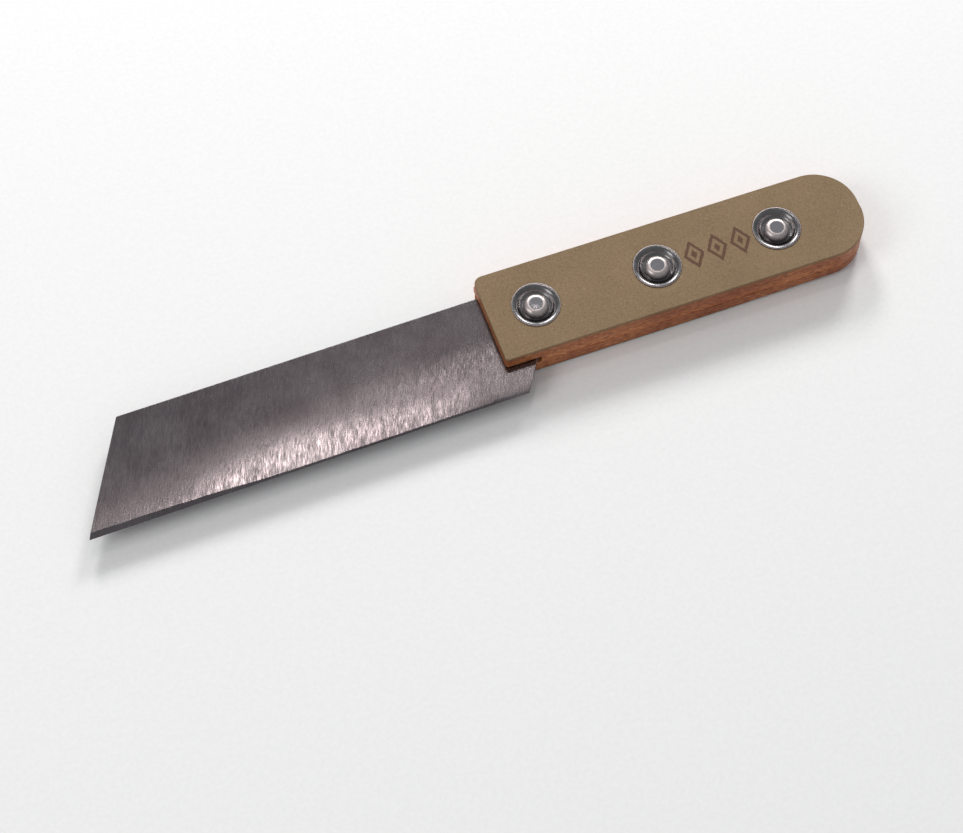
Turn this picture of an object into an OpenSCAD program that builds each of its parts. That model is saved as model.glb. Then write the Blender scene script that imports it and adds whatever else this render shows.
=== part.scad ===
// Glazier's hacking knife: a steel blade with a through tang, held between two leather
// scales and a leather core by three rivets, each with a cup washer under either head.
// Working frame: X runs along the handle from its front end towards the butt, Y from
// the cutting edge towards the spine with 0 on the handle's centreline, and Z through
// the thickness with 0 on the blade's middle plane. place() moves the finished piece so
// that the origin is the bottom centre of the whole knife's bounding box.

/* [Blade] */
// Length of blade in front of the handle, measured to the tip
blade_reach = 111.8; // [90:0.1:140]
// Width of the blade from spine to cutting edge
blade_w = 29.6; // [26:0.1:34]
// Thickness of the blade and of its tang
blade_t = 2.4; // [1.8:0.1:3.5]
// Height of the spine above the handle's centreline
spine_rise = 8.95; // [8.2:0.05:11]
// Angle by which the nose is cut back from square, in degrees
nose_angle = 28; // [5:1:40]
// Angle by which the heel is cut back from square, in degrees
heel_angle = 33; // [0:1:35]
// Distance of the heel's corner behind the handle's front end
heel_setback = 3.1; // [1:0.1:3.5]
// Angle by which the blade dips below the line of the handle, in degrees
blade_droop = 0.7; // [0:0.1:2]
// Width of the convex grind, measured up from the cutting edge
grind_w = 17.5; // [8:0.5:20]
// Thickness that the convex grind leaves at the top of the cutting bevel
bevel_top_t = 0.9; // [0.6:0.05:1.4]
// Width of the cutting bevel
bevel_w = 1.3; // [0.6:0.1:2.5]
// Thickness of the cutting edge itself
edge_t = 0.16; // [0.05:0.01:0.4]

/* [Tang] */
// Width of the tang
tang_w = 15.5; // [12:0.1:16]
// Distance of the tang's round end behind the handle's front end
tang_l = 88.5; // [86:0.1:92]

/* [Handle] */
// Length of the leather handle
handle_l = 102; // [98:0.5:115]
// Width of the leather handle
handle_w = 25.4; // [24:0.1:30]
// Thickness of each leather scale
scale_t = 4; // [3.2:0.1:6]
// Radius that rounds each side of the butt
butt_r = 11.5; // [6:0.1:11.8]
// Radius of the front corner on the spine side
spine_corner_r = 2.2; // [0.5:0.1:4]
// Radius of the front corner on the edge side
edge_corner_r = 0.8; // [0.3:0.1:3]
// Free gap between the heel and the leather core, where the handle's edge side starts
heel_gap = 1.4; // [0.5:0.1:3]

/* [Rivets] */
// Diameter of a rivet's shank
shank_d = 5; // [4:0.1:5.4]
// Diameter of a rivet's head
head_d = 6.6; // [6:0.1:7]
// Height of a rivet's hammered head above the floor of its cup washer
head_h = 1.85; // [1.6:0.05:2.1]
// Radius of the round shoulder on the hammered head
head_shoulder_r = 1.4; // [0.8:0.1:1.5]
// Height of a rivet's domed head on the far side, above the floor of its cup washer
dome_h = 1.4; // [1:0.05:1.4]
// Distance of the first rivet behind the handle's front end
first_rivet = 12.7; // [12:0.1:14]
// Distance from one rivet to the next
rivet_pitch = 33.1; // [30:0.1:33.5]

/* [Cup washers] */
// Thickness of a cup washer's sheet steel
cup_t = 0.7; // [0.5:0.05:0.9]
// Radius of a cup washer's flat floor
cup_floor_r = 3.4; // [3.3:0.05:3.5]
// Inside radius of the curve that sweeps from the floor up to the rim
cup_curve_r = 2.6; // [2.3:0.05:2.8]
// Angle through which that curve turns, in degrees
cup_sweep = 60; // [50:1:65]
// Depth of the cup's floor below the leather's outer face
cup_sink = 1.25; // [1.25:0.05:1.5]

/* [Hidden] */
$fn = 96;
// Assembly clearance between pieces that are clamped together
slack = 0.03;
// Clearance round the tang inside the leather core, and round a shank in its hole
core_slack = 0.15;
hole_slack = 0.06;
// Extra length that carries a cutting solid past the faces it cuts
past = 1;
half_t = blade_t / 2;
half_w = handle_w / 2;
face_z = half_t + scale_t;
edge_y = spine_rise - blade_w;
bevel_y = edge_y + bevel_w;
grind_y = edge_y + grind_w;
// Radius of the cylinder that the convex grind follows, tangent to the flat above it
grind_run = grind_y - bevel_y;
grind_drop = half_t - bevel_top_t / 2;
grind_r = (grind_run * grind_run + grind_drop * grind_drop) / (2 * grind_drop);
grind_fn = 720;
blade_span = blade_reach + 2 * blade_w;
butt_flat = half_w - butt_r;
butt_x = handle_l - butt_r;
tang_round_x = tang_l - tang_w / 2;
heel_slope = tan(heel_angle);
rivet_x = [for (i = [0:2]) first_rivet + i * rivet_pitch];
// Lip of the cup washer: a bead as thick as the sheet, at the end of the curve
cup_mid_r = cup_curve_r + cup_t / 2;
cup_centre_z = cup_curve_r - cup_sink;
lip_r = cup_floor_r + cup_mid_r * sin(cup_sweep);
lip_z = cup_centre_z - cup_mid_r * cos(cup_sweep);
rim_rise = lip_z + cup_t / 2;
// A point of the blade, turned by the droop about the middle of the handle's front end
function drooped(p) = [
    p.x * cos(blade_droop) - p.y * sin(blade_droop),
    p.x * sin(blade_droop) + p.y * cos(blade_droop)
];
tip = drooped([-blade_reach, edge_y]);
origin = [(handle_l + tip.x) / 2, (half_w + tip.y) / 2, -(face_z + rim_rise)];

module place() {
    translate(-origin) children();
}

// ---- blade ----

// Outline of the blade as sheared from the bar: nose, spine, square upper shoulder and
// slanted heel, which runs up to the tang's lower side
module blade_outline() {
    heel_rise = -tang_w / 2 - edge_y;
    polygon([
        [-blade_reach, edge_y],
        [-blade_reach + blade_w * tan(nose_angle), spine_rise],
        [0, spine_rise],
        [0, tang_w / 2 - past],
        [heel_setback + heel_rise * heel_slope, tang_w / 2 - past],
        [heel_setback + heel_rise * heel_slope, -tang_w / 2],
        [heel_setback, edge_y]
    ]);
}

// Cross-section solid of the blade, along X: flat down to the grind line, then a convex
// grind on each side as far as the cutting bevel
module blade_section() {
    translate([-blade_span, grind_y, -half_t])
        cube([2 * blade_span, blade_w, blade_t]);
    intersection() {
        translate([-blade_span, bevel_y, -half_t])
            cube([2 * blade_span, grind_run + slack, blade_t]);
        for_both_sides() grind_cylinder();
    }
    bevel_section();
}

module for_both_sides() {
    intersection() {
        children();
        mirror([0, 0, 1]) children();
    }
}

module grind_cylinder() {
    translate([-blade_span, grind_y, half_t - grind_r])
        rotate([0, 90, 0])
            cylinder(r = grind_r, h = 2 * blade_span, $fn = grind_fn);
}

// The cutting bevel: a wedge from the grind's lower line down to the edge
module bevel_section() {
    translate([-blade_span, 0, 0])
        rotate([90, 0, 90])
            linear_extrude(2 * blade_span)
                polygon([
                    [bevel_y, bevel_top_t / 2],
                    [bevel_y, -bevel_top_t / 2],
                    [edge_y, -edge_t / 2],
                    [edge_y, edge_t / 2]
                ]);
}

module tang_outline(grow = 0) {
    translate([-past, -tang_w / 2 - grow])
        square([tang_round_x + past, tang_w + 2 * grow]);
    translate([tang_round_x, 0])
        circle(tang_w / 2 + grow);
}

module tang() {
    translate([0, 0, -half_t])
        linear_extrude(blade_t)
            intersection() {
                tang_outline();
                translate([first_rivet - head_d, -tang_w])
                    square([tang_l, 2 * tang_w]);
            }
}

module blade() {
    color("slategray")
        place()
            difference() {
                union() {
                    rotate([0, 0, blade_droop])
                        intersection() {
                            translate([0, 0, -half_t])
                                linear_extrude(blade_t) blade_outline();
                            blade_section();
                        }
                    tang();
                }
                rivet_holes();
            }
}

module rivet_holes() {
    for (x = rivet_x)
        translate([x, 0, -face_z - past])
            cylinder(d = shank_d + 2 * hole_slack, h = 2 * (face_z + past));
}

// ---- leather ----

// Plan of the handle: square front end with two rounded corners, and a round butt
module handle_outline() {
    difference() {
        translate([0, -half_w]) square([butt_x, handle_w]);
        corner_waste(1, spine_corner_r);
        corner_waste(-1, edge_corner_r);
    }
    translate([butt_x - past, -butt_flat])
        square([butt_r + past, 2 * butt_flat]);
    for (side = [-1, 1])
        translate([butt_x, side * butt_flat]) circle(butt_r);
}

// What a corner's radius takes off the handle's front end
module corner_waste(side, r) {
    difference() {
        translate([-past, side > 0 ? half_w - r : -half_w - past])
            square([r + past, r + past]);
        translate([r, side * (half_w - r)]) circle(r);
    }
}

module scale_blank() {
    difference() {
        translate([0, 0, half_t + slack / 2])
            linear_extrude(scale_t - slack / 2) handle_outline();
        rivet_holes();
        for (x = rivet_x)
            translate([x, 0, face_z]) cup_seat();
    }
}

module near_scale() {
    color("tan") place() scale_blank();
}

module far_scale() {
    color("tan") place() mirror([0, 0, 1]) scale_blank();
}

// Leather between the scales, flush with their edges and cut away round the tang. It is
// open at the front, where the blade comes out.
module leather_core() {
    heel_x = heel_setback + heel_gap - edge_y * heel_slope;
    reach_y = half_w + past;
    color("sienna")
        place()
            translate([0, 0, -half_t + slack])
                linear_extrude(blade_t - 2 * slack)
                    difference() {
                        handle_outline();
                        tang_outline(core_slack);
                        polygon([
                            [-past, -reach_y],
                            [heel_x - reach_y * heel_slope, -reach_y],
                            [heel_x, 0],
                            [-past, 0]
                        ]);
                        translate([-past, 0]) square([past + core_slack, reach_y]);
                    }
}

// ---- rivets ----

// Half profile of the hammered head: a low drum with a flat top and a round shoulder
module hammered_profile() {
    flat_r = head_d / 2 - head_shoulder_r;
    shoulder_z = head_h - head_shoulder_r;
    square([flat_r, head_h]);
    square([head_d / 2, shoulder_z]);
    intersection() {
        translate([flat_r, shoulder_z]) circle(head_shoulder_r);
        square([head_d, head_h]);
    }
}

// Half profile of the factory head: a flat-based dome
module dome_profile() {
    head_r = head_d / 2;
    dome_r = (head_r * head_r + dome_h * dome_h) / (2 * dome_h);
    intersection() {
        square([head_r, dome_h]);
        translate([0, dome_h - dome_r]) circle(dome_r);
    }
}

module rivet(index) {
    seat_z = face_z - cup_sink + slack;
    color("silver")
        place()
            translate([rivet_x[index], 0, 0]) {
                translate([0, 0, -seat_z]) cylinder(d = shank_d, h = 2 * seat_z);
                translate([0, 0, seat_z]) rotate_extrude() hammered_profile();
                mirror([0, 0, 1])
                    translate([0, 0, seat_z]) rotate_extrude() dome_profile();
            }
}

module front_rivet() { rivet(0); }
module middle_rivet() { rivet(1); }
module rear_rivet() { rivet(2); }

// ---- cup washers ----

// Half profile of a cup washer, with Z 0 on the leather's outer face
module cup_profile() {
    floor_z = -cup_sink - cup_t;
    translate([shank_d / 2 + hole_slack, floor_z])
        square([cup_floor_r - shank_d / 2 - hole_slack, cup_t]);
    intersection() {
        translate([cup_floor_r, cup_centre_z])
            difference() {
                circle(cup_curve_r + cup_t);
                circle(cup_curve_r);
            }
        translate([cup_floor_r, cup_centre_z])
            polygon([
                [0, 0],
                [0, -2 * cup_mid_r],
                [2 * cup_mid_r * tan(cup_sweep / 2), -2 * cup_mid_r],
                [2 * cup_mid_r * sin(cup_sweep), -2 * cup_mid_r * cos(cup_sweep)]
            ]);
    }
    translate([lip_r, lip_z]) circle(cup_t / 2);
}

// The hollow that a cup washer presses into the leather
module cup_seat() {
    seat_r = cup_curve_r + cup_t + slack;
    depth = cup_sink + cup_t + slack;
    rotate_extrude()
        difference() {
            union() {
                translate([0, -depth]) square([cup_floor_r, depth + past]);
                translate([cup_floor_r, cup_centre_z])
                    intersection() {
                        circle(seat_r);
                        translate([0, -2 * seat_r]) square([seat_r, 2 * seat_r]);
                    }
            }
            translate([0, past]) square([2 * seat_r + cup_floor_r, 2 * seat_r]);
        }
}

module cup(index, side) {
    color("gainsboro")
        place()
            mirror([0, 0, side < 0 ? 1 : 0])
                translate([rivet_x[index], 0, face_z])
                    rotate_extrude() cup_profile();
}

module near_front_cup() { cup(0, 1); }
module near_middle_cup() { cup(1, 1); }
module near_rear_cup() { cup(2, 1); }
module far_front_cup() { cup(0, -1); }
module far_middle_cup() { cup(1, -1); }
module far_rear_cup() { cup(2, -1); }

blade();
near_scale();
far_scale();
leather_core();
front_rivet();
middle_rivet();
rear_rivet();
near_front_cup();
near_middle_cup();
near_rear_cup();
far_front_cup();
far_middle_cup();
far_rear_cup();
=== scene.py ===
"""A glazier's hacking knife: hand-ground steel blade, leather handle, hammered rivets."""
import math

import bmesh
import bpy
import numpy as np
from mathutils import Matrix, Vector


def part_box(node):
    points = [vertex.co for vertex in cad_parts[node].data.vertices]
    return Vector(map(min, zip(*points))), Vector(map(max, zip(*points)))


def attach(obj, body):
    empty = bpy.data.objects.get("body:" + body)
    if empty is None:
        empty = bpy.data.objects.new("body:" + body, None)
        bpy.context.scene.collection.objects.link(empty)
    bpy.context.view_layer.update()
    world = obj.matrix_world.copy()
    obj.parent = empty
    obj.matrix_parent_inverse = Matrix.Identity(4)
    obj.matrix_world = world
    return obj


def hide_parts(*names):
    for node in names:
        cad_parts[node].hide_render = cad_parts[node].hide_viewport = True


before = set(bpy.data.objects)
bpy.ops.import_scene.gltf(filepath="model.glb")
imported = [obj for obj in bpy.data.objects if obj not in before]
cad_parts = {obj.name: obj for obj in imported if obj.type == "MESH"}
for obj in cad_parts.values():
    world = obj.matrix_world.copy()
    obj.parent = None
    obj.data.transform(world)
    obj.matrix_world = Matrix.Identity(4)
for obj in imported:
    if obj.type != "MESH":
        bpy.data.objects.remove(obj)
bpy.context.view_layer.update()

MM = 0.001
handle_low, handle_high = (np.array(c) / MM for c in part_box("near_scale"))
blade_low, blade_high = (np.array(c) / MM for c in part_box("blade"))
# The maker's frame: X from the handle's front end to the butt, Y from the handle's
# centreline towards the blade's back, Z from the blade's middle plane, in millimetres
ORIGIN = np.array([
    handle_low[0],
    (handle_low[1] + handle_high[1]) / 2,
    (blade_low[2] + blade_high[2]) / 2,
])
HANDLE_L = handle_high[0] - handle_low[0]
HALF_W = (handle_high[1] - handle_low[1]) / 2
FACE_Z = handle_high[2] - ORIGIN[2]
HALF_T = (blade_high[2] - blade_low[2]) / 2
RIVETS = [
    sum(np.array(c)[:2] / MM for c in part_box(f"{place}_rivet")) / 2 - ORIGIN[:2]
    for place in ("front", "middle", "rear")
]


# ---- small tools ----

def linear(colour):
    """Turns an sRGB colour written as hex into linear light, with full alpha."""
    part = np.array([int(colour[i:i + 2], 16) for i in (1, 3, 5)]) / 255
    light = np.where(part <= 0.04045, part / 12.92, ((part + 0.055) / 1.055) ** 2.4)
    return (*(float(c) for c in light), 1.0)


def ripple(t, lengths, seed):
    """Sum of sine waves along t, one for each length, with seeded phases, within -1 and 1."""
    rng = np.random.default_rng(seed)
    return sum(np.sin(2 * np.pi * (t / w + rng.random())) for w in lengths) / len(lengths)


def smooth_step(t):
    """Rises from 0 to 1 while t does, and is level at both ends."""
    t = np.clip(t, 0, 1)
    return t * t * (3 - 2 * t)


def patches(x, y, size, seed):
    """Smooth mottling: nine sine waves of about the given size that cross each other in
    seeded directions, within -1 and 1."""
    rng = np.random.default_rng(seed)
    total = 0
    for turn, stretch, phase in rng.random((9, 3)):
        along = x * np.cos(2 * np.pi * turn) + y * np.sin(2 * np.pi * turn)
        total = total + np.sin(2 * np.pi * (along / (size * (0.7 + stretch)) + phase))
    return total / 9


def grid_faces(rows, columns, close_rows=False, close_columns=False):
    """Quads between neighbours on a grid of rows by columns, numbered row by row."""
    r = np.arange(rows if close_rows else rows - 1)[:, None]
    c = np.arange(columns if close_columns else columns - 1)[None, :]
    r2, c2 = (r + 1) % rows, (c + 1) % columns
    corners = [r * columns + c, r * columns + c2, r2 * columns + c2, r2 * columns + c]
    return np.stack(corners, -1).reshape(-1, 4)


def make_piece(name, points, faces, material, stands_for=(), values=None, sharp=35):
    """Makes a closed mesh from points in the maker's frame and its faces. Doubled points
    are merged, the normals turned outwards, and edges sharper than the angle kept crisp.
    values is a dict of one number for each point, kept as attributes."""
    mesh = bpy.data.meshes.new(name)
    points = (np.asarray(points, float).reshape(-1, 3) + ORIGIN) * MM
    mesh.from_pydata(points.tolist(), [], [list(f) for f in faces])
    for key, numbers in (values or {}).items():
        layer = mesh.attributes.new(key, "FLOAT", "POINT")
        layer.data.foreach_set("value", np.asarray(numbers, np.float32).ravel())
    work = bmesh.new()
    work.from_mesh(mesh)
    bmesh.ops.remove_doubles(work, verts=work.verts, dist=1e-7)
    bmesh.ops.recalc_face_normals(work, faces=work.faces)
    work.to_mesh(mesh)
    work.free()
    mesh.polygons.foreach_set("use_smooth", np.ones(len(mesh.polygons), bool))
    mesh.set_sharp_from_angle(angle=math.radians(sharp))
    mesh.materials.append(material)
    piece = bpy.data.objects.new(name, mesh)
    bpy.context.scene.collection.objects.link(piece)
    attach(piece, "root")
    if stands_for:
        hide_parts(*stands_for)
    return piece


def fill(material, node, inputs):
    """Fills a node's inputs: a socket is linked and any other value is set."""
    for key, value in inputs.items():
        if isinstance(value, bpy.types.NodeSocket):
            material.node_tree.links.new(value, node.inputs[key])
        else:
            node.inputs[key].default_value = value


def add(material, kind, settings=None, inputs=None):
    """Adds a shader node, sets its properties and fills its inputs."""
    node = material.node_tree.nodes.new("ShaderNode" + kind)
    for key, value in (settings or {}).items():
        setattr(node, key, value)
    fill(material, node, inputs or {})
    return node


def new_material(name):
    """An empty node material, its shader and its output."""
    material = bpy.data.materials.new(name)
    material.use_nodes = True
    material.node_tree.nodes.clear()
    shader = add(material, "BsdfPrincipled")
    add(material, "OutputMaterial", None, {"Surface": shader.outputs["BSDF"]})
    return material, shader


def ramp(material, fac, stops):
    """A colour ramp over fac, with a list of (position, hex colour or grey level)."""
    node = add(material, "ValToRGB", None, {"Fac": fac})
    while len(node.color_ramp.elements) < len(stops):
        node.color_ramp.elements.new(0.5)
    for element, (place, colour) in zip(node.color_ramp.elements, stops):
        element.position = place
        element.color = linear(colour) if isinstance(colour, str) else (colour,) * 3 + (1,)
    return node.outputs["Color"]


def noise(material, where, scale, detail, roughness=0.5):
    """Fractal noise between 0 and 1, with its largest features about 1 / scale apart."""
    return add(material, "TexNoise", None, {
        "Vector": where, "Scale": scale, "Detail": detail, "Roughness": roughness,
    }).outputs["Fac"]


def mix(material, share, a, b, blend="MIX"):
    """Colour a with the given share of colour b."""
    return add(material, "Mix", {"data_type": "RGBA", "blend_type": blend}, {
        "Factor": share, "A": a, "B": b}).outputs["Result"]


def mix_numbers(material, share, a, b):
    """Number a with the given share of number b."""
    return add(material, "Mix", {"data_type": "FLOAT"}, {
        "Factor": share, "A": a, "B": b}).outputs["Result"]


def calc(material, operation, *values):
    """The result of a math node over the values."""
    return add(material, "Math", {"operation": operation}, dict(enumerate(values))).outputs[0]


def rescale(material, value, old, new):
    """The value moved from one range, (low, high), to another."""
    return add(material, "MapRange", None, {
        "Value": value, "From Min": old[0], "From Max": old[1],
        "To Min": new[0], "To Max": new[1]}).outputs["Result"]


def relief(material, strength, distance, height):
    """A bumped normal, with the height's depth as a distance in metres."""
    return add(material, "Bump", None, {
        "Strength": strength, "Distance": distance, "Height": height}).outputs["Normal"]


def attribute(material, name):
    """A number that the mesh carries at each point."""
    return add(material, "Attribute", {"attribute_name": name}).outputs["Fac"]


# ---- materials ----

def ground_carbon_steel():
    """Carbon steel sheet, ground by hand on a coarse wheel: the scratches cross the blade
    and lean towards the butt. They spread a reflection along the blade and break it into
    short bright and dark strokes."""
    m, shader = new_material("ground_carbon_steel")
    where = add(m, "TexCoord").outputs["Object"]
    # Wheel scratches are 0.05 mm apart; they are drawn 0.25 mm apart so that they show
    lean = math.radians(20)
    turned = add(m, "Mapping", {"vector_type": "POINT"},
                 {"Vector": where, "Rotation": (0, 0, lean)}).outputs["Vector"]
    fine = add(m, "Mapping", None, {"Vector": turned, "Scale": (3700, 480, 480)})
    coarse = add(m, "Mapping", None, {"Vector": turned, "Scale": (1200, 240, 240)})
    scratch = noise(m, fine.outputs["Vector"], 1, 2, 0.6)
    bands = noise(m, coarse.outputs["Vector"], 1, 2)
    stain = noise(m, where, 90, 4, 0.55)
    both = calc(m, "MULTIPLY_ADD", bands, 0.6, scratch)
    tint = ramp(m, both, [(0.55, "#6c6769"), (0.8, "#736d70"), (1.0, "#7b7478")])
    oiled = ramp(m, stain, [(0.35, "#e2dfe1"), (0.6, "#ffffff")])
    tangent = add(m, "Tangent", {"direction_type": "UV_MAP", "uv_map": "grain"})
    fill(m, shader, {
        "Base Color": mix(m, 1.0, tint, oiled, "MULTIPLY"),
        "Roughness": rescale(m, both, (0.6, 1.0), (0.3, 0.16)),
        "Normal": relief(m, 0.5, 0.00002, both),
        "Tangent": tangent.outputs["Tangent"],
        "Metallic": 1,
        "Anisotropic": 0.4,
    })
    return m


def oak_tanned_leather(name, marked, edge_colours):
    """Sole leather: a fine buffed tan face that hardly shines, and a cut edge burnished to
    a darker red brown, with its fibres in thin layers along the cut. edge_colours are the
    cut's four colours, from its darkest fibres to its palest. With marked, the face has a
    stamped row of lozenges, from a saddler's border tool."""
    m, shader = new_material(name)
    where = add(m, "TexCoord").outputs["Object"]
    cut = attribute(m, "cut")
    along = attribute(m, "along")
    depth = attribute(m, "depth")
    # Pores are about 0.3 mm, and the buffing leaves soft clouds about 12 mm across
    pores = noise(m, where, 2600, 3, 0.65)
    clouds = noise(m, where, 80, 3)
    specks = add(m, "TexVoronoi", None, {"Vector": where, "Scale": 620})
    face = ramp(m, pores, [(0.3, "#7b6348"), (0.52, "#8c7456"), (0.72, "#958060")])
    face = mix(m, 1.0, face, ramp(m, clouds, [(0.3, "#f3f1ee"), (0.7, "#ffffff")]), "MULTIPLY")
    pale = ramp(m, specks.outputs["Distance"], [(0.0, 0.55), (0.16, 0.0)])
    face = mix(m, 0.22, face, pale, "SCREEN")
    layer = add(m, "CombineXYZ", None, {"X": along, "Y": depth})
    fibres = add(m, "Mapping", None, {
        "Vector": layer.outputs["Vector"], "Scale": (0.6, 1.7, 1)})
    fibre = noise(m, fibres.outputs["Vector"], 1, 5, 0.62)
    edge = ramp(m, fibre, list(zip((0.27, 0.38, 0.52, 0.7), edge_colours)))
    blotch = ramp(m, clouds, [(0.35, "#d9c4b4"), (0.62, "#ffffff")])
    edge = mix(m, 1.0, edge, blotch, "MULTIPLY")
    # The colour is darkened slightly and made a little greyer over the rounded rim and the top
    # of the cut wall, where the face's finish fades into the cut
    rim_darkening = ramp(m, cut, [
        (0.0, "#ffffff"), (0.3, "#f1f1f2"), (0.95, "#f0f1f3"), (1.0, "#ffffff")])
    colour = mix(m, 1.0, mix(m, cut, face, edge), rim_darkening, "MULTIPLY")
    height = mix_numbers(m, cut, pores, fibre)
    if marked:
        colour, height = stamped_border(m, where, pores, colour, height)
    fill(m, shader, {
        "Base Color": colour,
        "Roughness": rescale(m, cut, (0, 1), (0.68, 0.52)),
        "Normal": relief(m, 0.5, 0.00012, height),
        "Specular IOR Level": 0.35,
    })
    return m


def stamped_border(m, where, pores, colour, height):
    """Adds a row of three lozenges, 6.4 mm apart, between the middle and rear rivets. A
    point is inside a lozenge where |x| / 2.9 + |y| / 4.4 is under 1, and the stamp bites
    on the lozenge's border and its heart."""
    pitch, half_length, half_width = 6.4, 2.9, 4.4
    middle = ((RIVETS[1] + RIVETS[2]) / 2 + ORIGIN[:2]) * MM
    local = add(m, "Mapping", {"vector_type": "POINT"}, {
        "Vector": where, "Location": (-middle[0] / MM, -middle[1] / MM, 0),
        "Scale": (1 / MM, 1 / MM, 1 / MM)})
    axis = add(m, "SeparateXYZ", None, {"Vector": local.outputs["Vector"]})
    x, y = axis.outputs["X"], axis.outputs["Y"]
    in_row = calc(m, "COMPARE", x, 0.0, 1.5 * pitch)
    size_x = calc(m, "ABSOLUTE", calc(m, "WRAP", x, pitch / 2, -pitch / 2))
    part_x = calc(m, "DIVIDE", size_x, half_length)
    lozenge = calc(m, "MULTIPLY_ADD", calc(m, "ABSOLUTE", y), 1 / half_width, part_x)
    worn = calc(m, "MULTIPLY_ADD", pores, 0.3, lozenge)
    ink = ramp(m, worn, [
        (0.0, 1.0), (0.42, 1.0), (0.48, 0.0), (0.78, 0.0), (0.84, 1.0), (1.0, 1.0)])
    inside = calc(m, "LESS_THAN", worn, 1.13)
    mark = calc(m, "MULTIPLY", calc(m, "MULTIPLY", ink, in_row), inside)
    colour = mix(m, calc(m, "MULTIPLY", mark, 0.92), colour, linear("#5a3928"))
    return colour, calc(m, "MULTIPLY_ADD", mark, -1.0, height)


def hammered_steel():
    """Soft mild steel. The hammer's face left the middle of the head smooth, and the glancing
    blows round it left a rougher shoulder; the shoulder's paler, pinkish colour is a painted
    reflection."""
    m, shader = new_material("hammered_mild_steel")
    where = add(m, "TexCoord").outputs["Object"]
    struck = attribute(m, "struck")
    # The dents of glancing blows are about 1 mm across, and the scuffs in them 0.4 mm
    dents = add(m, "TexVoronoi", {"feature": "SMOOTH_F1"}, {
        "Vector": where, "Scale": 900, "Smoothness": 0.6})
    scuff = noise(m, where, 2400, 4, 0.6)
    smooth = ramp(m, scuff, [(0.3, "#a5a3a8"), (0.65, "#b4b3b8")])
    # The shoulder's paler, pinkish colour is a painted reflection, with the scuffs varying it
    scuffed_and_painted_reflection = ramp(m, scuff, [(0.3, "#aca2a1"), (0.65, "#ccc2bf")])
    fill(m, shader, {
        "Base Color": mix(m, struck, smooth, scuffed_and_painted_reflection),
        "Roughness": mix_numbers(m, struck, rescale(m, scuff, (0.3, 0.7), (0.11, 0.13)), 0.4),
        "Normal": relief(m, 0.06, 0.00002, dents.outputs["Distance"]),
        "Metallic": 1,
    })
    return m


def plated_steel():
    """Pressed sheet steel with bright nickel plate, which reflects like a dark mirror. The
    sheared lip is unplated and rougher, and its paler, pinkish colour is partly that steel and
    partly a painted reflection, so that it is pale from every side."""
    m, shader = new_material("nickel_plated_steel")
    where = add(m, "TexCoord").outputs["Object"]
    lip = attribute(m, "lip")
    smudge = noise(m, where, 500, 4, 0.55)
    plate = ramp(m, smudge, [(0.3, "#6c6a6b"), (0.7, "#7a7879")])
    # The lip's paler, pinkish colour is partly unplated steel and partly a painted reflection
    bare_lip_and_painted_reflection = ramp(m, smudge, [(0.3, "#a39a9b"), (0.7, "#b5acad")])
    fill(m, shader, {
        "Base Color": mix(m, lip, plate, bare_lip_and_painted_reflection),
        "Roughness": mix_numbers(m, lip, rescale(m, smudge, (0.3, 0.7), (0.21, 0.29)), 0.5),
        "Normal": relief(m, 0.05, 0.00001, smudge),
        "Metallic": 1,
    })
    return m


def white_board():
    """Matt white card, with a faint tooth."""
    m, shader = new_material("matt_white_card")
    tooth = noise(m, add(m, "TexCoord").outputs["Object"], 900, 2)
    fill(m, shader, {
        "Base Color": ramp(m, tooth, [(0.3, "#f7f7f6"), (0.7, "#fbfbfa")]),
        "Roughness": 0.9,
        "Specular IOR Level": 0.1,
    })
    return m


# ---- blade ----

REACH, BLADE_W, SPINE, DROOP = 111.8, 29.6, 8.95, math.radians(0.7)
NOSE, HEEL, SETBACK = math.radians(28), math.radians(33), 3.1
GRIND_W, BEVEL_W, BEVEL_LOSS, BEVEL_HALF, EDGE_HALF = 17.5, 1.3, 0.75, 0.45, 0.08
TANG_HALF_W, TANG_L = 7.75, 88.5


def blade_points(along, bevel_part, body_part):
    """The blade's near half, as a function of along, from nose 0 to heel 1, and of the two
    parts of the way across: up the cutting bevel, then from the bevel to the back. The
    half thickness is a wedge on the bevel, a circular arc up the convex grind and constant
    above it, with a rounded corner at the back. The grind takes least off at the nose, so
    the bevel is widest there, and most at the heel; both change along smooth steps."""
    ground = smooth_step((along - 0.15) / 0.32)
    bevel = BEVEL_W - BEVEL_LOSS * ground
    bevel = bevel * (1 + 0.1 * ripple(along * 115, [31, 17, 9], 3))
    up = np.concatenate([
        bevel * bevel_part,
        bevel + (BLADE_W - bevel) * body_part[:, 1:],
    ], 1)
    edge = SPINE - BLADE_W
    nose = -REACH + up * math.tan(NOSE)
    # The heel slants up to the tang's lower side and is square where the tang joins it.
    # Above the tang the blade ends just inside the handle's front
    tang_front = SETBACK + (-TANG_HALF_W - edge) * math.tan(HEEL)
    heel = np.minimum(SETBACK + up * math.tan(HEEL), tang_front)
    step_h, hidden_end = 0.35, 0.1
    shoulder = np.clip((TANG_HALF_W - edge - up) / step_h, 0, 1)
    heel = np.where(
        up > TANG_HALF_W - edge - step_h, hidden_end + (heel - hidden_end) * shoulder, heel)
    x = nose + (heel - nose) * along
    run = GRIND_W - BEVEL_W
    deep = 0.5 + 0.5 * ground + 0.25 * smooth_step((along - 0.78) / 0.2)
    drop = (HALF_T - BEVEL_HALF) * deep
    radius = (run ** 2 + drop ** 2) / (2 * drop)
    arc = radius - np.sqrt(radius ** 2 - np.clip(GRIND_W - up, 0, GRIND_W - bevel) ** 2)
    corner = 0.22
    over = np.clip(up - (BLADE_W - corner), 0, corner)
    half = HALF_T - arc - (corner - np.sqrt(corner ** 2 - over ** 2))
    top = HALF_T - radius + np.sqrt(radius ** 2 - (GRIND_W - bevel) ** 2)
    wedge = EDGE_HALF + (top - EDGE_HALF) * up / bevel
    half = np.where(up < bevel, wedge, half)
    return x, edge + up, half


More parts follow.
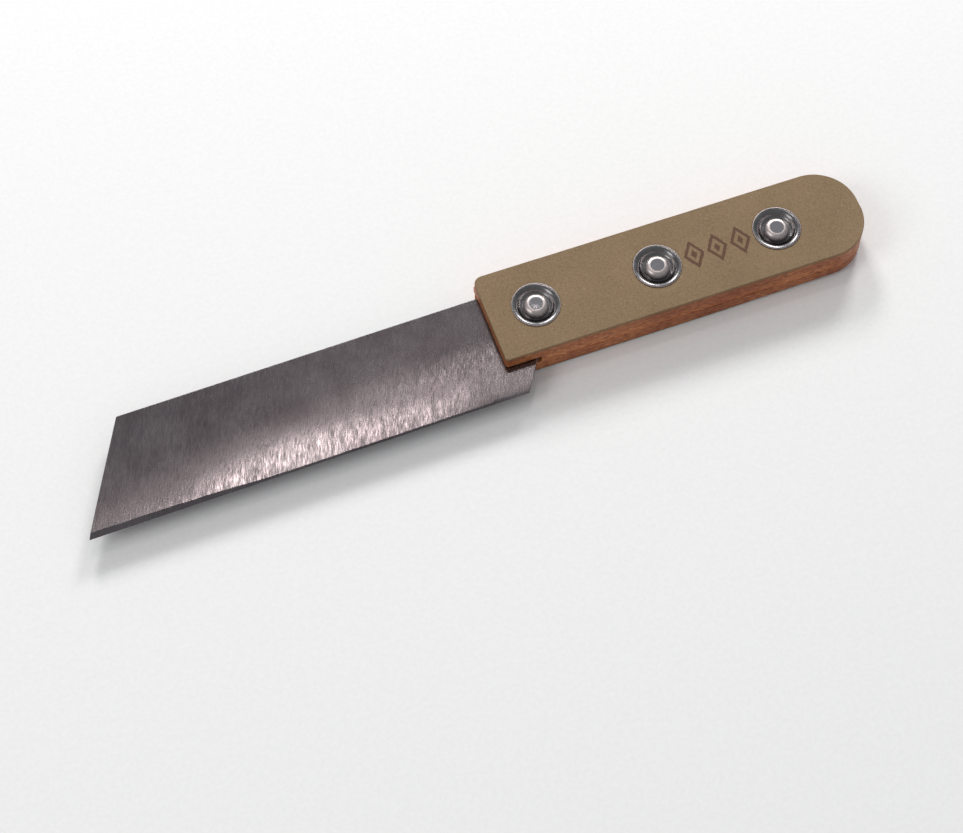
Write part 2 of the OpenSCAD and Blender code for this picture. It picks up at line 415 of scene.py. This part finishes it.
def ground_blade():
    """The blade as one closed skin: its near half, and the far half mirrored with its own
    wheel marks, joined along the edge, the back, the nose and the heel."""
    along = np.unique(np.r_[0, 0.0009, np.linspace(0.003, 0.997, 330), 0.9991, 1])[:, None]
    bevel_part = np.linspace(0, 1, 5)[None, :]
    body = np.r_[0, 0.02, np.linspace(0.05, 0.985, 76), 0.9925, np.linspace(0.9932, 1, 6)]
    x, y, half = blade_points(along, bevel_part, np.unique(body)[None, :])
    ends = ((along == 0) | (along == 1)) * np.minimum(0.1, half / 2)
    sides = []
    for side, seed in ((1, 5), (-1, 6)):
        waves = 0.006 * patches(x, y, 23, seed) + 0.002 * patches(x, y * 0.4, 7, seed + 9)
        calm = np.clip((half - 0.3) / 0.3, 0, 1)
        calm = calm * np.clip((HALF_T + 0.02 - half) / 0.02, 0.35, 1)
        sides.append(side * (half - ends - 0.018 * calm + waves * calm))
    rows, columns = x.shape
    loop_x = np.concatenate([x, x[:, ::-1]], 1)
    loop_y = np.concatenate([y, y[:, ::-1]], 1)
    loop_z = np.concatenate([sides[0], sides[1][:, ::-1]], 1)
    points = np.stack([
        loop_x * math.cos(DROOP) - loop_y * math.sin(DROOP),
        loop_x * math.sin(DROOP) + loop_y * math.cos(DROOP),
        loop_z,
    ], -1)
    near = np.arange(columns - 1)
    far = 2 * columns - 1 - near
    cap = np.stack([near, near + 1, far - 1, far], -1)
    faces = np.concatenate([
        grid_faces(rows, 2 * columns, close_columns=True),
        cap, cap + (rows - 1) * 2 * columns,
    ])
    blade = make_piece("blade_ground", points, faces, STEEL, ["blade"], sharp=8)
    grain_map(blade)
    return blade


def grain_map(blade):
    """A UV map whose U runs across the wheel's scratches, the way they spread a shine."""
    mesh = blade.data
    place = np.empty(len(mesh.vertices) * 3)
    mesh.vertices.foreach_get("co", place)
    place = place.reshape(-1, 3) / MM
    lean = math.radians(72)
    grain = np.stack([
        place[:, 0] * math.sin(lean) - place[:, 1] * math.cos(lean),
        place[:, 0] * math.cos(lean) + place[:, 1] * math.sin(lean),
    ], 1) * 0.01
    corner = np.empty(len(mesh.loops), int)
    mesh.loops.foreach_get("vertex_index", corner)
    mesh.uv_layers.new(name="grain").data.foreach_set("uv", grain[corner].ravel())


# ---- leather ----

BUTT_R, SPINE_CORNER, EDGE_CORNER = 11.5, 2.2, 0.8
SLAB_POINTS, CORE_POINTS, TANG_POINTS = 840, 560, 180


def arc(centre, radius, start, end):
    """Points on an arc, from the start to the end angle in degrees."""
    turn = np.radians(np.linspace(start, end, 60))
    return np.stack([centre[0] + radius * np.cos(turn), centre[1] + radius * np.sin(turn)], 1)


def evenly(path, count, closed=True):
    """The path again with count points at even distances, and each point's distance."""
    if closed:
        path = np.concatenate([path, path[:1]])
    steps = np.r_[0, np.cumsum(np.hypot(*np.diff(path, axis=0).T))]
    marks = np.linspace(0, steps[-1], count + 1 if closed else count)
    marks = marks[:-1] if closed else marks
    return np.stack([np.interp(marks, steps, path[:, i]) for i in (0, 1)], 1), marks


def seam(x, step):
    """Places along a middle line, moved to the nearest whole step, so that the two sides
    of a piece meet there in the same points."""
    return np.round(x / step) * step


def handle_outline():
    """Plan of the handle, walked from the middle of the butt round by the edge side."""
    flat = HALF_W - BUTT_R
    return np.concatenate([
        arc((HANDLE_L - BUTT_R, -flat), BUTT_R, 0, -90),
        arc((EDGE_CORNER, EDGE_CORNER - HALF_W), EDGE_CORNER, -90, -180),
        arc((SPINE_CORNER, HALF_W - SPINE_CORNER), SPINE_CORNER, 180, 90),
        arc((HANDLE_L - BUTT_R, flat), BUTT_R, 90, 0),
    ])


def pressed_in(x, y):
    """How deep the cup washers press the leather's face: a seat that follows the cup's
    under side, and outside the lip a slope that dies away within about a millimetre."""
    lip, seat_r, rise = 6.17, CUP_CURVE + CUP_T + 0.03, CUP_CURVE - CUP_SINK
    depth = 0
    for centre in RIVETS:
        d = np.hypot(x - centre[0], y - centre[1])
        seat = np.sqrt(seat_r ** 2 - np.clip(d - CUP_FLOOR, 0, lip - CUP_FLOOR) ** 2) - rise
        slope = 0.1 * np.exp(-np.clip(d - lip, 0, None) / 1.1)
        depth = depth + np.where(d < lip, seat, slope)
    return depth


def leather_slab(side, seed):
    """One scale: a profile carried round the handle's outline. It starts in the middle of
    the outer face, runs out to the rim, over a worn round edge, down the cut wall and back
    under. The far rim is worn rounder towards the butt. Each ring's points lie on lines
    that run from the outline to the nearest point of the handle's middle line, so the
    rings close on that line."""
    outline, walked = evenly(handle_outline(), SLAB_POINTS)
    heart = np.stack([np.clip(outline[:, 0], HALF_W, HANDLE_L - HALF_W), 0 * walked], 1)
    inward = heart - outline
    reach = np.hypot(*inward.T)
    inward = inward / reach[:, None]
    worn = 0.24 if side > 0 else 0.08 + 1.1 * smooth_step((outline[:, 0] - 50) / 45)
    worn = worn + 0.04 * (1 + ripple(walked, [40, 23, 11], seed))
    chamfer = 0.15
    share = np.r_[1, np.linspace(0.985, 0.0, 64)]
    turn = np.radians(np.linspace(15, 90, 6))
    wall = np.linspace(0, 1, 13)[1:]
    face_inset = worn + (reach - worn) * share[:, None]
    round_inset = worn * (1 - np.sin(turn))[:, None]
    wall_inset = np.zeros((len(wall), 1)) * reach
    under_inset = chamfer + (reach - chamfer) * np.array([0.0, 0.35, 1.0])[:, None]
    inset = np.concatenate([face_inset, round_inset, wall_inset, under_inset])
    top, bottom = FACE_Z - 0.02, HALF_T + 0.015
    z = np.concatenate([
        np.full_like(face_inset, top),
        top - worn * (1 - np.cos(turn))[:, None],
        top - worn + (bottom + chamfer - top + worn) * wall[:, None],
        np.full_like(under_inset, bottom),
    ])
    on_face = len(share)
    on_wall = slice(on_face + 2, on_face + len(turn) + len(wall))
    # The knife that cut the slab wandered a little, and left the wall slightly ribbed
    inset = inset + 0.02 * (1 + ripple(walked, [67, 29, 13], seed + 1)) * (inset < 2)
    rib = 0.02 * (1 + patches(walked, z[on_wall] * 6, 7, seed + 2))
    inset[on_wall] += rib + 0.015 * (1 + patches(walked, z[on_wall] * 2.5, 1.7, seed + 3))
    x = outline[:, 0] + inward[:, 0] * inset
    y = outline[:, 1] + inward[:, 1] * inset
    x[[0, -1]] = seam(heart[:, 0], 0.6)
    z[:on_face] += 0.018 * (patches(x[:on_face], y[:on_face], 19, seed + 4) - 1)
    z[:on_face] -= pressed_in(x[:on_face], y[:on_face])
    # The near face's finish runs over the rim and fades out down the wall
    fade = 1.3 if side > 0 else 0.15
    cut = np.clip((top - 0.15 - z) / fade, 0, 1) ** 0.7
    cut[:on_face] = 0
    points = np.stack([x, y, side * z], -1)
    faces = grid_faces(*z.shape, close_columns=True)
    name, material = ("near", NEAR_LEATHER) if side > 0 else ("far", FAR_LEATHER)
    values = {"cut": cut, "along": walked + 0 * z, "depth": side * z + 3 * seed}
    return make_piece(f"{name}_leather", points, faces, material,
                      [f"{name}_scale"], values, sharp=60)


def leather_core():
    """The leather between the scales: a flat bar carried from the heel's gap along the
    edge side, round the butt and back along the spine side, outside the tang."""
    heel_x = SETBACK + 1.4 + (BLADE_W - SPINE) * math.tan(HEEL)
    flat = HALF_W - BUTT_R
    path = np.concatenate([
        [[heel_x - HALF_W * math.tan(HEEL), -HALF_W]],
        arc((HANDLE_L - BUTT_R, -flat), BUTT_R, -90, 0),
        arc((HANDLE_L - BUTT_R, flat), BUTT_R, 0, 90),
        [[0.35, HALF_W]],
    ])
    outer, walked = evenly(path, CORE_POINTS, closed=False)
    inner_r, round_x = TANG_HALF_W + 0.15, TANG_L - TANG_HALF_W
    heart = np.stack([np.clip(outer[:, 0], None, round_x), 0 * walked], 1)
    outward = outer - heart
    outward = outward / np.hypot(*outward.T)[:, None]
    inner = heart + outward * inner_r
    slant = (HALF_W - inner_r) * math.tan(HEEL) * np.clip(1 - walked / 30, 0, 1)
    inner[:, 0] += slant
    half = HALF_T - 0.03
    levels = np.linspace(half, -half, 9)
    trim = 0.13 + 0.06 * ripple(walked, [53, 21, 9], 71)[:, None]
    trim = trim + 0.025 * (1 + patches(walked[:, None], levels[None, :] * 4, 2.2, 72))
    wall = outer[:, None, :] - outward[:, None, :] * trim[:, :, None]
    back = np.repeat(inner[:, None, :], 2, 1)
    loop = np.concatenate([wall, back], 1)
    z = np.r_[levels, -half, half][None, :] + 0 * loop[:, :, 0]
    points = np.concatenate([loop, z[:, :, None]], 2)
    rows, columns = z.shape
    faces = [list(f) for f in grid_faces(rows, columns, close_columns=True)]
    faces += [list(range(columns)), [(rows - 1) * columns + i for i in range(columns)]]
    values = {"cut": 1 + 0 * z, "along": walked[:, None] + 40 + 0 * z, "depth": z + 31}
    return make_piece("core_leather", points, faces, CORE_LEATHER,
                      ["leather_core"], values, sharp=60)


def steel_tang():
    """The tang inside the handle: a flat strip with a round end, its section carried
    round the outline and closed on the middle line."""
    round_x = TANG_L - TANG_HALF_W
    front = SETBACK + (BLADE_W - SPINE - TANG_HALF_W) * math.tan(HEEL) + 0.02
    outline, walked = evenly(np.concatenate([
        [[front, TANG_HALF_W]],
        arc((round_x, 0), TANG_HALF_W, 90, -90),
        [[front, -TANG_HALF_W]],
    ]), TANG_POINTS)
    heart = np.clip(outline[:, 0], front + 4, round_x)
    heart = np.stack([seam(heart, 2.5), 0 * walked], 1)
    share = np.array([1, 0.0, 0.0, 1])[:, None, None]
    plan = outline[None] + (heart - outline)[None] * share
    z = np.array([1, 1, -1, -1])[:, None] * HALF_T + 0 * walked
    points = np.concatenate([plan, z[:, :, None]], 2)
    return make_piece("tang", points, grid_faces(*z.shape, close_columns=True), STEEL)


# ---- rivets and cup washers ----

CUP_T, CUP_FLOOR, CUP_CURVE, CUP_SINK, SHANK_R = 0.7, 3.4, 2.6, 1.25, 2.5
HEAD_R, HEAD_H, SHOULDER_R, DOME_H = 3.3, 1.85, 1.4, 1.4
TURN_STEPS = 240


def turned(profile, centre, side, loop, dents=None, seed=0):
    """A profile of (radius, height) turned about the rivet's axis. A looped profile gives
    a ring; an open one starts and ends on the axis. dents(angle, radius, height, seed)
    gives the radii and heights again, as hammering leaves them."""
    angle = np.linspace(0, 2 * np.pi, TURN_STEPS, endpoint=False)[None, :]
    r, z = profile[:, :1] + 0 * angle, profile[:, 1:] + 0 * angle
    if dents:
        r, z = dents(angle, r, z, seed)
    x, y = centre[0] + r * np.cos(angle), centre[1] + r * np.sin(angle)
    points = np.stack([x, y, side * z], -1)
    return points, grid_faces(*r.shape, close_rows=loop, close_columns=True)


def marked_part(parts, chosen):
    """1 for each point of the chosen part of a profile, and 0 for the rest."""
    return np.repeat([float(i == chosen) for i in range(len(parts))], [len(p) for p in parts])


def cup_profile():
    """The top of the sheet is a flat floor with a hole, a hollow arc up to 50 degrees, and
    a wider arc that rolls over until it is level just above the leather. It ends in a cut
    lip with both corners broken, and its under side keeps the sheet's thickness. Also gives
    1 for each point of the lip and 0 for the rest."""
    hollow_r, roll_r, steep, crest_r, crest_z = 1.5, 1.77, math.radians(50), 6.08, 0.15
    sheet = 0.55
    climb, ease = np.linspace(0, steep, 16), np.linspace(steep, 0, 20)
    top = np.concatenate([
        np.stack([CUP_FLOOR + hollow_r * np.sin(climb),
                  hollow_r * (1 - np.cos(climb)) - CUP_SINK], 1),
        np.stack([crest_r - roll_r * np.sin(ease), crest_z - roll_r * (1 - np.cos(ease))], 1),
    ])
    slope = np.concatenate([climb, ease])
    under = top + sheet * np.stack([np.sin(slope), -np.cos(slope)], 1)
    turn = np.linspace(0, np.pi / 2, 6)[1:]
    corner, wall = 0.12, crest_r + 0.08
    lip = np.concatenate([
        np.stack([wall + corner * np.sin(turn), crest_z - corner + corner * np.cos(turn)], 1),
        [[wall + corner, crest_z - sheet + 0.05], [wall + 0.05, crest_z - sheet]],
    ])
    hole = SHANK_R + 0.06
    parts = [
        [[hole, -CUP_SINK - 0.06], [hole + 0.06, -CUP_SINK]],
        top, lip, under[::-1], [[hole, -CUP_SINK - sheet]],
    ]
    return np.concatenate(parts) + [0, FACE_Z], marked_part(parts, 2)


def rivet_profile():
    """From the far head's crown, over its dome, up the shank, and over the near head: a
    round shoulder that runs into a flat, which rises a little towards its middle. Also
    gives 1 for each point of the shoulder and 0 for the rest."""
    seat = FACE_Z - CUP_SINK + 0.03
    dome_r = (HEAD_R ** 2 + DOME_H ** 2) / (2 * DOME_H)
    r = np.linspace(0, HEAD_R, 20)
    dome = np.stack([r, -(seat + DOME_H - dome_r + np.sqrt(dome_r ** 2 - r ** 2))], 1)
    top = seat + HEAD_H - 0.03
    turn = np.radians(np.linspace(0, 90, 28))
    shoulder = np.array([HEAD_R - SHOULDER_R, top - SHOULDER_R]) + SHOULDER_R * np.stack(
        [np.cos(turn), np.sin(turn)], 1)
    flat = np.linspace(HEAD_R - SHOULDER_R, 0, 16)[1:]
    crown = np.stack([flat, top + 0.01 * (1 + np.cos(np.pi * flat / flat[0]))], 1)
    shank = [[HEAD_R, -seat], [SHANK_R, -seat], [SHANK_R, seat], [HEAD_R - 0.06, seat],
             [HEAD_R, seat + 0.06]]
    parts = [dome, shank, shoulder, crown]
    return np.concatenate(parts), marked_part(parts, 2)


def hammer_marks(angle, r, z, seed):
    """Flats round the near head's shoulder, and small dents on its top."""
    on_head = np.clip((z - FACE_Z + CUP_SINK) / 0.4, 0, 1) * np.clip(r / 2.0, 0, 1)
    blows = ripple(angle * 5 / np.pi, [1.0, 1.25, 10 / 7], seed)
    r = r * (1 - 0.012 * on_head * (1 + blows))
    x, y = r * np.cos(angle), r * np.sin(angle)
    z = z - np.clip((z - FACE_Z) / 0.3, 0, 1) * 0.003 * (1 + patches(x, y, 2.6, seed + 1))
    return r, z


def rivet_set(place, centre, seed):
    """A rivet with a cup washer under either head."""
    profile, is_struck = rivet_profile()
    points, faces = turned(profile, centre, 1, False, hammer_marks, seed)
    struck = {"struck": is_struck[:, None] + 0 * points[:, :, 0]}
    make_piece(f"{place}_rivet_hammered", points, faces, RIVET_STEEL,
               [f"{place}_rivet"], struck, sharp=50)
    profile, is_lip = cup_profile()
    for side, name in ((1, "near"), (-1, "far")):
        points, faces = turned(profile, centre, side, True)
        lip = {"lip": is_lip[:, None] + 0 * points[:, :, 0]}
        make_piece(f"{name}_{place}_washer", points, faces, PLATE,
                   [f"{name}_{place}_cup"], lip, sharp=50)


STEEL = ground_carbon_steel()
SLAB_EDGE = ("#4e2c1c", "#8c4c2b", "#ad683d", "#cc9060")
CORE_EDGE = ("#5a3320", "#9a5530", "#bc7445", "#d99d6c")
NEAR_LEATHER = oak_tanned_leather("oak_tanned_leather_stamped", True, SLAB_EDGE)
FAR_LEATHER = oak_tanned_leather("oak_tanned_leather", False, SLAB_EDGE)
CORE_LEATHER = oak_tanned_leather("oak_tanned_core_leather", False, CORE_EDGE)
RIVET_STEEL = hammered_steel()
PLATE = plated_steel()

ground_blade()
steel_tang()
leather_slab(1, 20)
leather_slab(-1, 40)
leather_core()
for index, place in enumerate(("front", "middle", "rear")):
    rivet_set(place, RIVETS[index], 90 + 7 * index)


# ---- floor, light and camera ----

LENS = 89.719626  # focal length in mm, on a sensor 36 mm wide
LAMP_TINT = "#fff6ef"


def floor_sheet():
    """A level sheet, 4 m square, just under the knife."""
    mesh = bpy.data.meshes.new("floor")
    low = -0.0002
    corners = [(-2, -2, low), (2, -2, low), (2, 2, low), (-2, 2, low)]
    mesh.from_pydata(corners, [], [(0, 1, 2, 3)])
    mesh.materials.append(white_board())
    floor = bpy.data.objects.new("floor", mesh)
    bpy.context.scene.collection.objects.link(floor)


def softbox(name, place, aim, size, glow, spin=0, tint="#ffffff"):
    """A rectangular soft light with a surface of the given radiance, aimed at a point and
    turned about its own axis."""
    data = bpy.data.lights.new(name, "AREA")
    data.shape = "RECTANGLE"
    data.size, data.size_y = size
    data.energy = glow * math.pi * size[0] * size[1]
    data.color = linear(tint)[:3]
    light = bpy.data.objects.new(name, data)
    look = (Vector(aim) - Vector(place)).to_track_quat("-Z", "Y")
    light.matrix_world = (
        Matrix.Translation(place) @ look.to_matrix().to_4x4() @ Matrix.Rotation(spin, 4, "Z"))
    bpy.context.scene.collection.objects.link(light)


def camera_at(target, azimuth, height, distance, roll):
    """A camera that looks at the target from the given direction, in degrees, and turned a
    little about its own axis."""
    a, h, r = (math.radians(v) for v in (azimuth, height, roll))
    back = Vector((math.sin(a) * math.cos(h), -math.cos(a) * math.cos(h), math.sin(h)))
    right = Vector((math.cos(a), math.sin(a), 0))
    up = back.cross(right)
    right, up = right * math.cos(r) + up * math.sin(r), up * math.cos(r) - right * math.sin(r)
    data = bpy.data.cameras.new("camera")
    data.lens, data.sensor_width, data.sensor_fit = LENS, 36, "HORIZONTAL"
    data.clip_start = 0.01
    camera = bpy.data.objects.new("camera", data)
    turn = Matrix((right, up, back)).transposed().to_4x4()
    camera.matrix_world = Matrix.Translation(Vector(target) + back * distance) @ turn
    bpy.context.scene.collection.objects.link(camera)
    bpy.context.scene.camera = camera


floor_sheet()
target = (np.array([-10.23, -22.77, 0]) + ORIGIN) * MM
camera_at(target, azimuth=-19.57, height=63.05, distance=0.6, roll=-0.32)
softbox("strip_overhead", (0.045, 0.295, 1.0), (-0.03, 0, 0), (0.17, 0.065), 16,
        math.radians(16), LAMP_TINT)
softbox("strip_right", (0.17, 0.42, 1.0), (0.03, 0, 0), (0.06, 0.07), 10,
        math.radians(45), LAMP_TINT)
softbox("back_left", (0.1, 1.0, 0.66), (0, 0, 0), (0.26, 0.3), 22)
softbox("back_right", (0.65, 0.84, 0.66), (0, 0, 0), (0.26, 0.3), 22)
softbox("side_left", (-1.0, -0.1, 0.9), (0, 0, 0), (0.5, 0.7), 3.5)

world = bpy.data.worlds.new("studio")
world.use_nodes = True
world.node_tree.nodes["Background"].inputs["Color"].default_value = linear("#f2f4f7")
world.node_tree.nodes["Background"].inputs["Strength"].default_value = 0.42
bpy.context.scene.world = world
bpy.context.scene.view_settings.view_transform = "Standard"
